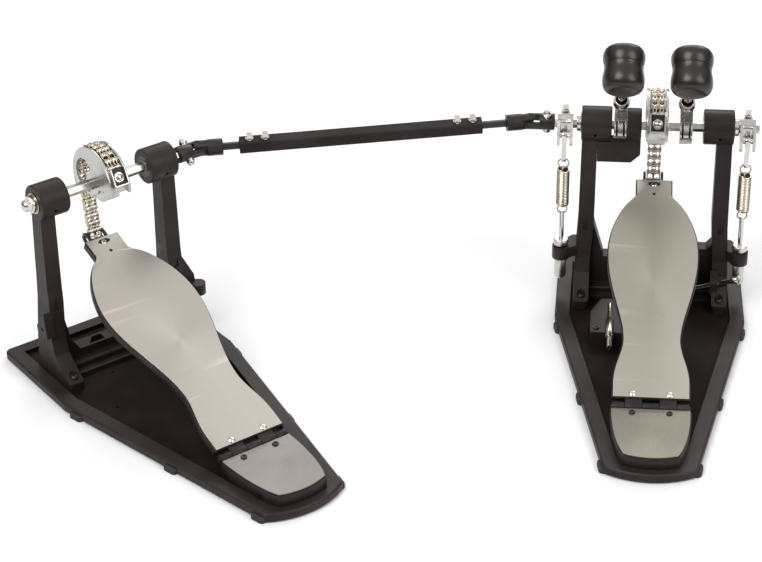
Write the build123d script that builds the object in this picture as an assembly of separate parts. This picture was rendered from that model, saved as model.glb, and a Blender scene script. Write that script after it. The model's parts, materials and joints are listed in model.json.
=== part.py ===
"""Twin bass drum pedal: a main pedal with two beaters, and a slave pedal joined to it by a
drive shaft with two universal joints.

Millimetres. Origin on the floor under the middle of the main pedal's axle, +X along that
axle to the right, +Y towards the drum, +Z up. Each pedal is drawn in the same local frame,
and the slave pedal is then turned and moved into place.
"""

import os
from math import acos, atan2, cos, degrees, hypot, radians, sin

from build123d import *

# ---- layout -------------------------------------------------------------------------------
AXLE_Z = 200.0  # height of both axles above the floor
SLAVE_X, SLAVE_Y = -544.0, -158.8  # floor point under the slave axle's middle
SLAVE_TURN = 41.75  # slave pedal's heading, degrees about Z

# ---- base plate -----------------------------------------------------------------------------
MAT = 2.0  # rubber mat under the base
BASE_TOP = 10.0
PAN_FLOOR = 5.5  # floor of the pan sunk in the base
BACK_Y, BACK_HALF = 59.5, 96.6
WIDE_Y, WIDE_HALF = -65.3, 98.1
HEEL_Y, HEEL_HALF = -337.4, 44.5
HEEL_BULGE = 12.7
RIM_SIDE, RIM_HEEL = 15.0, 26.0
PAN_HOLES = ((-25.6, -37.8), (-55.3, -95.9))
FOOT_Y = (-81.0, -213.0, -328.0)  # rubber feet clipped on the edge
FOOT_W, FOOT_L, FOOT_H = 12.0, 17.0, 6.0

# ---- posts, housings and bridges ---------------------------------------------------------------
HOUSING_X, HOUSING_L, HOUSING_D = 62.0, 31.0, 36.0
POST_IN, POST_OUT = 60.5, 76.5
POST_HALF = 8.5
FOOT_IN, FOOT_OUT = 64.0, 80.0  # the posts splay out at the bottom
FOOT_SCREW = (71.5, -39.5)
INNER_BLOCK = (-31.0, -16.5)  # middle bearing block between the two main axles
BEARING_D, BEARING_BORE, BEARING_L = 22.0, 12.0, 7.0
RUN_GAP = 0.03  # radial running clearance

# ---- axles --------------------------------------------------------------------------------------
HEX_FLATS = 9.6
JOURNAL_D = BEARING_BORE - 2 * RUN_GAP

# ---- cam and chain ------------------------------------------------------------------------------
CAM_X = -1.0
CAM_W, FLANGE_T = 22.0, 2.6
SEAT_R, FLANGE_R = 32.0, 37.5
SEAT_END = 20.0  # the chain's seat stops this high above the axle, so that the cam can turn back a little
CHAIN_R = 35.6  # pitch line of the chain on the cam
CHAIN_H, CHAIN_W = 6.6, 14.0
CHAIN_BEND = 22.0  # where the chain starts to leave the cam, degrees above the +Y axis
CHAIN_END = 137.0  # where it meets the anchor, degrees round the cam
ANCHOR_TURN = 152.0  # middle of the anchor
CAM_OPENING, OPENING_D = (13.2, 4.4), 34.6  # round opening in the flanges: place from the axle, diameter
CAM_HUB_D = 23.0
CLAMP_BLOCK = [(-17, -3), (-17, -13), (-13, -16), (8, -16), (10, -12), (10, -3)]  # y, z from the axle
TOE_PIN = (23.5, 125.3)  # chain's lowest pin: y, z
TOE_PIN_R = 1.5
TOE_SLOT = (9.0, 6.0)  # play for that pin in the toe clamp: length, height

# ---- footboard and heel plate -------------------------------------------------------------------
HINGE_Y, HINGE_Z = -252.5, 21.0
HINGE_PIN_R = 2.5
KNUCKLE_R = 5.0
BOARD_ANGLE = 20.97  # rest slope of the footboard
BOARD_TOP = 7.0  # top face above the hinge line, square to the board
STEEL_T, FRAME_T = 1.6, 7.0
BOARD_OUTLINE = {  # half-width and distance from the hinge; the slave's board is the wider one
    "main": [(38.1, 24), (29.4, 71), (38, 128), (46.4, 184), (40.2, 227), (24, 259), (19, 266)],
    "slave": [(38.6, 24), (31.5, 71), (40.5, 128), (51.5, 184), (43.5, 230), (26, 258), (19, 266)],
}
BOARD_START, BOARD_END = 7.0, 287.0
TOE_SCREW, TOE_HOLE = 6.0, 19.5  # back from the board's end
HEEL_TOP = 23.0
HEEL_PLATE = [(38.2, -257.5), (36.5, -290.0), (26.0, -334.4)]
HEEL_PLATE_BULGE = 5.0

# ---- beaters --------------------------------------------------------------------------------------
BEATER_X = (-37.9, 28.7)  # left and right beater hubs
BEATER_LEAN = 44.0  # rest lean towards the player, degrees
SHAFT_Y = 18.0  # the shaft passes the axle on the drum's side
SHAFT_D, SHAFT_FOOT = 8.0, -32.0
HEAD_Z = 109.0  # middle of the head, along the shaft
HEAD_PROFILE = [(-23.3, 14), (-21, 18.2), (-12, 21.0), (0, 19.1), (12, 21.0), (21, 18.2), (23.3, 14)]
HEAD_BORE = 12.0  # how far the shaft's end stays short of the head's middle
HUB_W = 13.0
HUB_OUTLINE = [(-16.3, -3), (-16.3, 8.5), (-8, 12.5), (10, 14.5), (24.5, 14.5), (24.5, -2), (20, -6),
               (8, -12), (-8, -13), (-12, -8)]  # y, z from the axle
CUP_D, CUP_Z = 15.4, (14.5, 24.5)

# ---- springs --------------------------------------------------------------------------------------
SPRING_X = (-94.5, 91.0)
ROCKER_X = (-94.0, 91.0)
ROCKER_R, ROCKER_DROP = 18.0, 25.0  # rocker pin: distance from the axle, degrees below -Y
ROCKER_CORE = 11.8  # radius of the rocker between its cheeks, clear of the swinging link
SPRING_Y = -17.0
COIL_D, COIL_WIRE, COIL_TOP, COIL_FOOT = 13.6, 1.7, 155.0, 114.0
LINK_FOOT = 164.0  # lower end of the strap that carries the spring
ROCKER_PIN_D, LINK_PLAY = 4.0, 1.7  # the strap's eye has play round the rocker's pin
ROD_D = 5.0

# ---- hoop clamp ------------------------------------------------------------------------------------
CLAMP_PIVOT, CLAMP_PIN_D = (38.0, 31.0), 5.0
LIP_TOP = 13.0
BOLT_Y, BOLT_D, BOLT_RISE = -28.0, 5.6, 16.5  # the bolt's place, diameter and slope

# ---- key ------------------------------------------------------------------------------------------------
KEY_X, KEY_Z = -41.0, 20.0
KEY_SPANS = [(4.6, -91.0, -60.0), (8.0, -125.0, -91.0), (5.2, -144.0, -125.0)]  # diameter, from and to Y
HOLDER = [(-61, -115), (-61, -75), (-50, -48), (-28, -48), (-28, -115)]
HOLDER_TOP = 20.0
HOLDER_SCREW = (-54.5, -107.0)

# ---- drive shaft -----------------------------------------------------------------------------------
MAIN_JOINT_X, SLAVE_JOINT_X = -130.0, 111.0
CROSS_ARM, CROSS_PIN_D = 7.9, 4.0
YOKE_D, YOKE_HUB, YOKE_L = 17.0, 9.6, 15.5  # yoke's hub: diameter, start, length
EAR_HALF, EAR_GAP, EAR_TIP = 4.2, 4.7, 4.6  # ear's half-width, half the gap between ears, overhang
OPEN_PIVOT_GAP = 0.2  # play at the far yoke, whose joint is left open
ROD_FLATS = 7.0
TUBE_W, TUBE_FROM, TUBE_TO = 13.5, 42.0, 291.0
TUBE_ROLL = 13.0  # degrees, towards the player
TUBE_BOLTS = (10.0, 26.0)  # key bolts, from each end of the tube
SLAVE_PIN_TURN = -70.0  # slave yoke's pin, degrees from upright
MAIN_PIN_TURN = 0.0  # main end's pin on the shaft, degrees from the slave end's

os.makedirs("parts", exist_ok=True)


# ---- helpers ---------------------------------------------------------------------------------------
def save(name, *solids):
    """One node: one solid, or a group of separate ones."""
    found = [s for shape in solids for s in shape.solids()]
    body = found[0] if len(found) == 1 else Compound(children=found)
    body.label = name
    export_step(body, f"parts/{name}.step")


def main_place(shape):
    return shape


def slave_place(shape):
    return Pos(SLAVE_X, SLAVE_Y, 0) * Rot(0, 0, SLAVE_TURN) * shape


PEDALS = {"main": main_place, "slave": slave_place}


def box(x0, x1, y0, y1, z0, z1):
    return Pos((x0 + x1) / 2, (y0 + y1) / 2, (z0 + z1) / 2) * Box(x1 - x0, y1 - y0, z1 - z0)


def along_x(d, x0, x1, y=0.0, z=0.0):
    """Cylinder along X."""
    return Pos((x0 + x1) / 2, y, z) * Rot(0, 90, 0) * Cylinder(d / 2, x1 - x0)


def along_y(d, y0, y1, x=0.0, z=0.0):
    return Pos(x, (y0 + y1) / 2, z) * Rot(90, 0, 0) * Cylinder(d / 2, y1 - y0)


def along_z(d, z0, z1, x=0.0, y=0.0):
    return Pos(x, y, (z0 + z1) / 2) * Cylinder(d / 2, z1 - z0)


def hex_bar(flats, x0, x1, y=0.0, z=0.0):
    """Hexagonal bar along X with a flat on top."""
    section = Plane.YZ * RegularPolygon(flats / 2, 6, major_radius=False)
    return Pos(x0, y, z) * extrude(section, x1 - x0)


def slab(points, x0, x1):
    """Outline in Y and Z, as thick as x0 to x1."""
    return Pos(x0, 0, 0) * extrude(Plane.YZ * make_face(Polyline(*points, close=True)), x1 - x0)


def soften(shape, size, edges):
    """Rounds edges, or leaves them sharp where the round won't fit."""
    try:
        return fillet(edges, size)
    except (ValueError, RuntimeError):
        return shape


def polar(r, deg):
    """Y and Z of a point round the axle, degrees from +Y towards +Z."""
    return r * cos(radians(deg)), AXLE_Z + r * sin(radians(deg))


def screw_head(x, y, z, d=7.0, h=3.0):
    """Button head with a cross slot, facing up, its seat at z."""
    head = Pos(x, y, z + h / 2) * Cylinder(d / 2, h)
    head = chamfer(head.edges().sort_by(Axis.Z)[-1], h * 0.4)
    for turn in (0, 90):
        head -= Pos(x, y, z + h) * Rot(0, 0, turn) * Box(d * 0.55, 1.0, 2.2)
    return head


def mirror_x(shape):
    return mirror(shape, about=Plane.YZ)


# ---- bases --------------------------------------------------------------------------------------------
def base_face(inset=0.0):
    outline = Polyline(
        (-HEEL_HALF, HEEL_Y), (-WIDE_HALF, WIDE_Y), (-BACK_HALF, BACK_Y),
        (BACK_HALF, BACK_Y), (WIDE_HALF, WIDE_Y), (HEEL_HALF, HEEL_Y),
    )
    heel = ThreePointArc((HEEL_HALF, HEEL_Y), (0, HEEL_Y - HEEL_BULGE), (-HEEL_HALF, HEEL_Y))
    face = make_face(outline + heel)
    face = fillet(face.vertices(), 6.0)
    return offset(face, -inset) if inset else face


def pan_space(gap):
    """Prism of the sunken pan, drawn in by a gap."""
    start = HEEL_Y - HEEL_BULGE + RIM_HEEL + gap
    return extrude(base_face(RIM_SIDE + gap), 3 * BASE_TOP) & box(-WIDE_HALF, WIDE_HALF, start, BACK_Y, -1, 99)


def base_plate():
    plate = Pos(0, 0, MAT) * extrude(base_face(), BASE_TOP - MAT)
    plate = chamfer(plate.faces().sort_by(Axis.Z)[-1].edges(), 1.6)
    plate -= Pos(0, 0, PAN_FLOOR) * pan_space(0.0)
    for x in (-FOOT_SCREW[0], FOOT_SCREW[0]):
        plate -= along_z(5.0, 0, PAN_FLOOR, x, FOOT_SCREW[1])
    for x, y in PAN_HOLES:
        plate -= along_z(4.0, 0, PAN_FLOOR, x, y)
    return plate


def edge_foot(y, side):
    """Rubber foot clipped under the edge of the base."""
    share = (y - HEEL_Y) / (WIDE_Y - HEEL_Y)
    x = HEEL_HALF + (WIDE_HALF - HEEL_HALF) * share
    lean = degrees(atan2(WIDE_HALF - HEEL_HALF, WIDE_Y - HEEL_Y))
    pad = Pos(side * (x - FOOT_W / 2 + 3.0), y, FOOT_H / 2) * Rot(0, 0, -side * lean) * Box(FOOT_W, FOOT_L, FOOT_H)
    pad = fillet(pad.edges().filter_by(Axis.Z), 4.0)
    pad = fillet(pad.faces().sort_by(Axis.Z)[-1].edges(), 1.5)
    return pad - base_plate() - rubber_mat()


def rubber_mat():
    return extrude(base_face(4.0), MAT)


# ---- posts and bridges ------------------------------------------------------------------------------------
def post(side):
    """Upright of one side: prism foot, tapered column and bearing housing."""
    front = Polyline(
        (FOOT_IN, 0), (FOOT_OUT, 0), (FOOT_OUT, 40), (POST_OUT + 1, 90), (POST_OUT, 190),
        (POST_IN, 190), (POST_IN + 0.5, 90), (FOOT_IN, 44), close=True,
    )
    column = slab(
        [(-47, PAN_FLOOR), (-47, 14.5), (-42, 17.5), (-20, 35), (-14.5, 50), (-10.5, 105), (-POST_HALF, 190),
         (POST_HALF, 190), (10.5, 105), (14, 42), (16, PAN_FLOOR)],
        0, 120,
    )
    column &= Pos(0, 100, 0) * extrude(Plane.XZ * make_face(front), 200)
    column = soften(column, 3.0, column.edges().filter_by(Axis.Z).sort_by(Axis.Y)[:2])
    near, far = HOUSING_X - HOUSING_L / 2, HOUSING_X + HOUSING_L / 2
    housing = along_x(HOUSING_D, near, far, 0, AXLE_Z)
    housing = fillet(housing.edges().filter_by(GeomType.CIRCLE), 1.5)
    body = column + housing
    body -= along_x(14.0, near - 1, far + 1, 0, AXLE_Z)
    for x in (near, far - BEARING_L):
        body -= along_x(BEARING_D, x, x + BEARING_L, 0, AXLE_Z)
    body -= along_y(3.4, -30, 0, HOUSING_X + 1, AXLE_Z - 6)  # grub screw hole
    body -= Pos(70, -15, 92) * Rot(4, 0, 0) * Box(5, 8, 22)  # slot up the front
    body -= along_z(5.0, 0, 40, *FOOT_SCREW)
    body -= along_z(9.0, 16.5, 40, *FOOT_SCREW)
    return mirror_x(body) if side < 0 else body


def bearing_rings(x0):
    """Ball bearing in its seat: outer ring, inner ring and the shield between."""
    ring = along_x(BEARING_D, x0, x0 + BEARING_L, 0, AXLE_Z)
    ring -= along_x(BEARING_BORE, x0 - 1, x0 + BEARING_L + 1, 0, AXLE_Z)
    for x in (x0 - 0.3, x0 + BEARING_L - 0.3):
        groove = along_x(19.0, x, x + 0.6, 0, AXLE_Z) - along_x(15.0, x, x + 0.6, 0, AXLE_Z)
        ring -= groove
    return ring


def housing_bearings():
    near, far = HOUSING_X - HOUSING_L / 2, HOUSING_X + HOUSING_L / 2 - BEARING_L
    return [bearing_rings(x) for x in (near, far, -near - BEARING_L, -far - BEARING_L)]


def bridge_steps():
    """Low stepped front of a bridge, on the floor of the pan."""
    steps = box(-FOOT_IN, FOOT_IN, -18, 9, PAN_FLOOR, 16) + box(-FOOT_IN, FOOT_IN, -26, -17, PAN_FLOOR, 9.5)
    return chamfer(steps.edges().filter_by(Axis.X).group_by(Axis.Z)[-1].sort_by(Axis.Y)[0], 1.2)


def bridge(outline):
    """Web between the posts, drawn in X and Z, on its stepped front."""
    web = Pos(0, 9, 0) * extrude(Plane.XZ * make_face(Polyline(*outline, close=True)), 16)
    body = web + bridge_steps()
    for side in (-1, 1):
        body -= post(side)
    return body


def main_bridge():
    """High web with a gusset at the left post and a tunnel for the hoop clamp's jaw."""
    body = bridge(
        [(-FOOT_IN - 2, 12), (-FOOT_IN - 2, 88), (-POST_IN - 1, 88), (-50, 47.5), (38, 47.5), (43, 60),
         (57, 60), (62, 66), (FOOT_IN + 2, 66), (FOOT_IN + 2, 12)]
    )
    body -= box(-15, 15, -30, 30, 17, 44)
    return body


def slave_bridge():
    """Low web with gussets and a screw pocket."""
    body = bridge(
        [(-FOOT_IN - 2, 12), (-FOOT_IN - 2, 76), (-POST_IN - 1, 76), (-54, 40), (-44, 25), (44, 25),
         (54, 40), (POST_IN + 1, 76), (FOOT_IN + 2, 76), (FOOT_IN + 2, 12)]
    )
    pocket = make_face(Polyline((-32, -4), (-14, -4), (-14, 6), (-24, 6), close=True))
    body -= Pos(0, 0, 18) * extrude(pocket, 20)
    body -= along_z(5.0, 0, 40, -19, 1)
    return body


def inner_bracket():
    """Arm from the left post to the middle bearing block."""
    x0, x1 = INNER_BLOCK
    block = along_x(HOUSING_D - 2, x0, x1, 0, AXLE_Z)
    block = fillet(block.edges().filter_by(GeomType.CIRCLE), 1.2)
    arm_face = make_face(
        Polyline((-POST_IN, 160), (-26, 160), (x1, 169), (x1, AXLE_Z), (x0, AXLE_Z), (x0, 183),
                 (-POST_IN, 183), close=True)
    )
    arm = Pos(0, 8, 0) * extrude(Plane.XZ * arm_face, 16)
    arm -= along_x(HOUSING_D + 0.6, -80, x0 - 1, 0, AXLE_Z)
    arm -= post(-1)
    body = arm + block
    body -= along_x(14.0, x0 - 1, x1 + 1, 0, AXLE_Z)
    body -= along_x(BEARING_D, x0 - 1, x0 + BEARING_L, 0, AXLE_Z)
    body -= along_x(BEARING_D, x1 - BEARING_L, x1 + 1, 0, AXLE_Z)
    return body


def spring_arm(side):
    """Arm on the outside of a post that carries the spring rod."""
    reach = abs(SPRING_X[0] if side < 0 else SPRING_X[1])
    body = along_z(18.0, 51, 65, reach, SPRING_Y)
    plan = Polyline(
        (POST_OUT, 8), (POST_OUT, -14), (reach - 2, SPRING_Y - 9), (reach + 5, SPRING_Y - 6),
        (reach + 5, SPRING_Y + 7), (POST_OUT + 6, 8), close=True,
    )
    body += Pos(0, 0, 52) * extrude(make_face(plan), 12)
    body -= along_z(ROD_D + 1.0, 40, 80, reach, SPRING_Y)
    return mirror_x(body) if side < 0 else body


def spare_arm():
    """Unused arm of the slave pedal's right post, with its strut."""
    body = along_z(15.0, 46, 58, 92, SPRING_Y)
    plan = Polyline((POST_OUT, 6), (POST_OUT, -12), (90, -24), (98, -20), (98, -12), (84, 6), close=True)
    body += Pos(0, 0, 46) * extrude(make_face(plan), 11)
    strut = Polyline((POST_OUT, 50), (POST_OUT, 94), (91, 66), (93, 50), close=True)
    return body + Pos(0, -2, 0) * extrude(Plane.XZ * make_face(strut), 9)


def spare_lug():
    """Bare lug with a hole on the slave pedal's left post."""
    outline = [(-18, 56), (-14, 84), (2, 64), (0, 52)]
    return slab(outline, -86, -POST_OUT) - along_x(4.6, -99, -70, -9, 64)


# ---- footboards ----------------------------------------------------------------------------------------
BOARD_FRAME = Pos(0, HINGE_Y, HINGE_Z) * Rot(BOARD_ANGLE, 0, 0)


def board_face(name, grow=0.0):
    """Footboard outline from above, symmetrical about X = 0."""
    start, end = BOARD_START - grow / 2, BOARD_END + grow / 2
    right = [(w + grow, s) for w, s in BOARD_OUTLINE[name]]
    side = Spline(*right, tangents=[(0, 1), (-1, 2)])
    low = Line((right[0][0], start), right[0])
    top = Line(right[-1], (right[-1][0], end))
    half = low + side + top
    other = mirror(half, about=Plane.YZ)
    ends = [
        Line((-right[0][0], start), (right[0][0], start)),
        Line((-right[-1][0], end), (right[-1][0], end)),
    ]
    return make_face(half.edges() + other.edges() + ends)


def footboard_steel(name):
    plate = BOARD_FRAME * Pos(0, 0, BOARD_TOP - STEEL_T) * extrude(board_face(name, -1.2), STEEL_T)
    recess = Pos(0, BOARD_END - TOE_SCREW, BOARD_TOP) * extrude(Ellipse(6.5, 3.2), 2 * STEEL_T, both=True)
    hole = along_z(3.4, 0, 20, 0, BOARD_END - TOE_HOLE)
    return plate - BOARD_FRAME * (recess + hole)


def footboard_frame(name):
    """Black carrier under the steel plate, with the hinge knuckles."""
    deep = BOARD_TOP - STEEL_T
    carrier = Pos(0, 0, deep - FRAME_T) * extrude(board_face(name), FRAME_T)
    hollow = Pos(0, 0, deep - FRAME_T - 1) * extrude(board_face(name, -6.0), FRAME_T - 2.5)
    hollow &= box(-60, 60, 22, BOARD_END - 30, -20, 20)
    carrier -= hollow
    for y in range(50, 260, 40):
        rib = box(-20, 20, y, y + 3, deep - FRAME_T, deep - 2)
        carrier += rib
    carrier -= box(-60, 60, -20, 9, -20, 2.5)
    for x0, x1 in ((-25, -8.5), (8.5, 25)):
        knuckle = along_x(2 * KNUCKLE_R, x0, x1) + box(x0, x1, 0, 12, -1, 4.5)
        carrier += knuckle
    carrier -= along_x(2 * (HINGE_PIN_R + RUN_GAP), -60, 60)
    carrier -= Pos(0, BOARD_END - TOE_SCREW, 0) * Cylinder(2.0, 40)
    return BOARD_FRAME * carrier


def toe_clamp():
    """Bracket under the toe that holds the chain's last pin between two slotted cheeks."""
    turn = radians(BOARD_ANGLE)
    dy, dz = TOE_PIN[0] - HINGE_Y, TOE_PIN[1] - HINGE_Z
    pin_s, pin_n = dy * cos(turn) + dz * sin(turn), dz * cos(turn) - dy * sin(turn)
    low, high = BOARD_TOP - STEEL_T - FRAME_T - 2.6, BOARD_TOP - STEEL_T - FRAME_T
    lip = BOARD_END + 0.2, BOARD_END + 1.4
    bracket = box(CAM_X - 10.4, CAM_X + 10.4, BOARD_END - 22, lip[1], low, high)
    bracket += box(CAM_X - 10.4, CAM_X + 10.4, *lip, low, BOARD_TOP - 2)
    length, height = TOE_SLOT
    for x in (CAM_X - 10.4, CAM_X + 7.8):
        bracket += slab(
            [(BOARD_END - 8, low), (BOARD_END - 8, high), (lip[0], high), (lip[0], 4.5),
             (pin_s + 4, 4.5), (pin_s + 8, 1), (pin_s + 8, pin_n - 4), (pin_s + 5, pin_n - 6),
             (pin_s - 4, pin_n - 6)],
            x, x + 2.6,
        )
    slot = box(-20, 20, pin_s - length / 2, pin_s + length / 2, pin_n - height / 2, pin_n + height / 2)
    slot = fillet(slot.edges().filter_by(Axis.X), height / 2 - 0.1)
    bracket -= slot
    bracket -= Pos(0, BOARD_END - TOE_SCREW, 0) * Cylinder(2.0, 40)
    return BOARD_FRAME * bracket


def heel_face(grow=0.0):
    (w0, y0), (w1, y1), (w2, y2) = [(w + grow, y) for w, y in HEEL_PLATE]
    side = Spline((w0, y0), (w1, y1), (w2, y2 - grow), tangents=[(0, -1), (-0.45, -1)])
    other = mirror(side, about=Plane.YZ)
    end = ThreePointArc((w2, y2 - grow), (0, y2 - grow - HEEL_PLATE_BULGE), (-w2, y2 - grow))
    front = Line((-w0, y0), (w0, y0))
    return make_face([side.edge(), other.edge(), end.edge(), front.edge()])


def heel_plate():
    plate = Pos(0, 0, HEEL_TOP - STEEL_T) * extrude(heel_face(), STEEL_T)
    for x in (-18, 18):
        plate -= along_z(4.0, 0, 40, x, HEEL_PLATE[0][1] - 7)
    return plate


def heel_frame():
    """Black block under the heel plate, with the fixed hinge knuckles."""
    top, front = HEEL_TOP - STEEL_T, HEEL_PLATE[0][1]
    block = Pos(0, 0, PAN_FLOOR) * extrude(heel_face(1.2), top - PAN_FLOOR)
    block &= box(-60, 60, HEEL_Y - 20, front, PAN_FLOOR, top)
    above = box(-99, 99, HEEL_Y - 40, front, BASE_TOP + 0.01, top)
    block = (block & pan_space(0.1)) + (block & above)
    block -= box(-30, 30, HEEL_Y + 26, front - 14, 0, top - 4)
    for x0, x1 in ((-37, -25.5), (-8, 8), (25.5, 37)):
        block += along_x(2 * KNUCKLE_R, x0, x1, HINGE_Y, HINGE_Z)
        block += box(x0, x1, front - 4, HINGE_Y, HINGE_Z - KNUCKLE_R, HINGE_Z + 0.4)
    block -= along_x(2 * HINGE_PIN_R, -60, 60, HINGE_Y, HINGE_Z)
    for x in (-18, 18):
        block -= along_z(3.0, top - 8, 40, x, front - 7)
    return block


def heel_screws():
    return [
        along_z(3.0, HEEL_TOP - STEEL_T - 8, HEEL_TOP, x, HEEL_PLATE[0][1] - 7)
        + screw_head(x, HEEL_PLATE[0][1] - 7, HEEL_TOP, 6.4, 1.6)
        for x in (-18, 18)
    ]


def foot_screw(side):
    x, y = side * FOOT_SCREW[0], FOOT_SCREW[1]
    return along_z(5.0, MAT, 16.5, x, y) + screw_head(x, y, 16.5, 8.0, 3.4)


def hinge_pin():
    return along_x(2 * HINGE_PIN_R, -38.5, 38.5, HINGE_Y, HINGE_Z)


# ---- axles, cams and chains --------------------------------------------------------------------------------
def axle(x0, x1, journals):
    """Hexagonal axle with round journals where it runs in bearings."""
    bar = hex_bar(HEX_FLATS, x0, x1, 0, AXLE_Z)
    for a, b in journals:
        bar += along_x(JOURNAL_D, a, b, 0, AXLE_Z)
    return bar


def hex_hole(x0, x1, y=0.0, z=AXLE_Z):
    return hex_bar(HEX_FLATS, x0, x1, y, z)


def housing_journals(side):
    near, far = HOUSING_X - HOUSING_L / 2, HOUSING_X + HOUSING_L / 2
    spans = ((near, near + BEARING_L), (far - BEARING_L, far))
    return [(a, b) if side > 0 else (-b, -a) for a, b in spans]


def cam():
    """Two ring flanges on a hub, with the chain's seat between them and a clamp block below."""
    x0, x1 = CAM_X - CAM_W / 2, CAM_X + CAM_W / 2
    opening = Pos(*CAM_OPENING) * Circle(OPENING_D / 2)
    kept = Pos(20, 12.5) * Rectangle(40, 55) + Pos(-20, 20) * Rectangle(40, 40)
    hub_face = Circle(CAM_HUB_D / 2)
    spoke = Pos(0, 14) * Rot(0, 0, 25) * Rectangle(6.5, 26)
    web = make_face(Polyline((4, -6), (-21, 0), (-32, 12), (-20, 20), (0, 10), close=True))
    side = ((Circle(FLANGE_R) & kept) - opening) + spoke + hub_face + web
    sides = Plane.YZ * side
    body = Pos(x0, 0, AXLE_Z) * extrude(sides, FLANGE_T)
    body += Pos(x1 - FLANGE_T, 0, AXLE_Z) * extrude(sides, FLANGE_T)
    seat = (Circle(SEAT_R) & kept) - opening - Pos(38, 0) * Rectangle(40, 2 * SEAT_END)
    body += Pos(x0, 0, AXLE_Z) * extrude(Plane.YZ * (seat + hub_face), CAM_W)
    block = slab([(y, AXLE_Z + z) for y, z in CLAMP_BLOCK], CAM_X - 9, CAM_X + 9)
    block = soften(block, 1.0, block.edges().filter_by(Axis.X))
    return body + block - hex_hole(x0 - 1, x1 + 1)


def chain_arc(start, end):
    """Chain lying on the cam between two angles."""
    ring = Circle(CHAIN_R + CHAIN_H / 2) - Circle(CHAIN_R - CHAIN_H / 2)
    reach = 2 * CHAIN_R
    steps = [start + (end - start) * i / 6 for i in range(7)]
    wedge = [(0, 0)] + [(reach * cos(radians(a)), reach * sin(radians(a))) for a in steps]
    face = ring & make_face(Polyline(*wedge, close=True))
    return Pos(CAM_X - CHAIN_W / 2, 0, AXLE_Z) * extrude(Plane.YZ * face, CHAIN_W)


def tangent_angle():
    """Where the chain leaves the pitch circle for the toe pin, degrees."""
    y, z = TOE_PIN[0], TOE_PIN[1] - AXLE_Z
    return degrees(atan2(z, y) + acos(CHAIN_R / hypot(y, z)))


def chain_wrap():
    gap = degrees((CHAIN_H / 2 + 0.5) / CHAIN_R)
    return chain_arc(CHAIN_BEND + gap, CHAIN_END)


def chain_run():
    """Chain from the bend point down to the toe pin."""
    leave = tangent_angle()
    arc = chain_arc(leave, CHAIN_BEND)
    end = along_x(CHAIN_H, CAM_X - CHAIN_W / 2, CAM_X + CHAIN_W / 2, *polar(CHAIN_R, CHAIN_BEND))
    y0, z0 = polar(CHAIN_R, leave)
    y1, z1 = TOE_PIN
    ny, nz = (z1 - z0), -(y1 - y0)
    k = CHAIN_H / 2 / hypot(ny, nz)
    straight = slab(
        [(y0 + ny * k, z0 + nz * k), (y1 + ny * k, z1 + nz * k), (y1 - ny * k, z1 - nz * k),
         (y0 - ny * k, z0 - nz * k)],
        CAM_X - CHAIN_W / 2, CAM_X + CHAIN_W / 2,
    )
    tip = along_x(CHAIN_H, CAM_X - CHAIN_W / 2, CAM_X + CHAIN_W / 2, y1, z1)
    pin = along_x(2 * TOE_PIN_R, CAM_X - 10.3, CAM_X + 10.3, y1, z1)
    return arc + end + straight + tip + pin


def chain_anchor():
    """Clip box and screw that hold the chain's end on the player's side of the cam."""
    front, back = -FLANGE_R - 4.5, -FLANGE_R + 4.5
    shell = box(CAM_X - 8.2, CAM_X + 8.2, front, back, -9, 9)
    shell -= box(CAM_X - 6.8, CAM_X + 6.8, front - 1, front + 4, -7.6, 10)
    screw = along_y(3.4, front + 4, front + 6, CAM_X, -1)
    head = along_y(9.0, front + 1.6, front + 4, CAM_X, -1)
    clip = Rot(ANCHOR_TURN - 180, 0, 0) * (shell + screw + head)
    return Pos(0, 0, AXLE_Z) * clip - cam()


# ---- rockers, hubs and beaters --------------------------------------------------------------------------------
def rocker_pin():
    return polar(ROCKER_R, 180 + ROCKER_DROP)


def key_bolt(x, z0, z1):
    """Square-head bolt with a collar, upright."""
    bolt = along_z(5.0, z0, z1, x)
    bolt += along_z(9.5, z1 - 1.5, z1, x)
    bolt += Pos(x, 0, z1 + 2.5) * Box(5.6, 5.6, 7.0)
    return bolt


def rocker(x):
    """Cast fork clamped on the axle that lifts the spring's link."""
    y, z = rocker_pin()
    saddle = slab(
        [(-11, AXLE_Z - 10), (-11, AXLE_Z + 6), (-6, AXLE_Z + 13), (6, AXLE_Z + 13), (9.5, AXLE_Z + 6),
         (9.5, AXLE_Z - 10)],
        x - 8, x + 8,
    )
    cheek_points = [(-12, AXLE_Z + 8), (y - 5.5, z + 3), (y - 6, z - 6), (y - 1, z - 11), (y + 6, z - 9),
                    (4, AXLE_Z - 10), (4, AXLE_Z + 8)]
    body = saddle
    for x0 in (x - 8, x + 5):
        body += slab(cheek_points, x0, x0 + 3)
    slot = box(x - 5, x + 5, -40, 0, AXLE_Z - 40, AXLE_Z + 8)
    body -= slot - along_x(2 * ROCKER_CORE, x - 10, x + 10, 0, AXLE_Z)
    body -= hex_hole(x - 20, x + 20)
    body -= along_z(5.0, AXLE_Z, AXLE_Z + 30, x)
    pin = along_x(ROCKER_PIN_D, x - 8, x + 8, y, z)
    return body + pin, key_bolt(x, AXLE_Z + HEX_FLATS / 2, AXLE_Z + 16)


BEATER_LINE = Rot(BEATER_LEAN, 0, 0)  # turns +Z into the beater's line


def beater_frame(x):
    return Pos(x, 0, AXLE_Z) * BEATER_LINE


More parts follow.
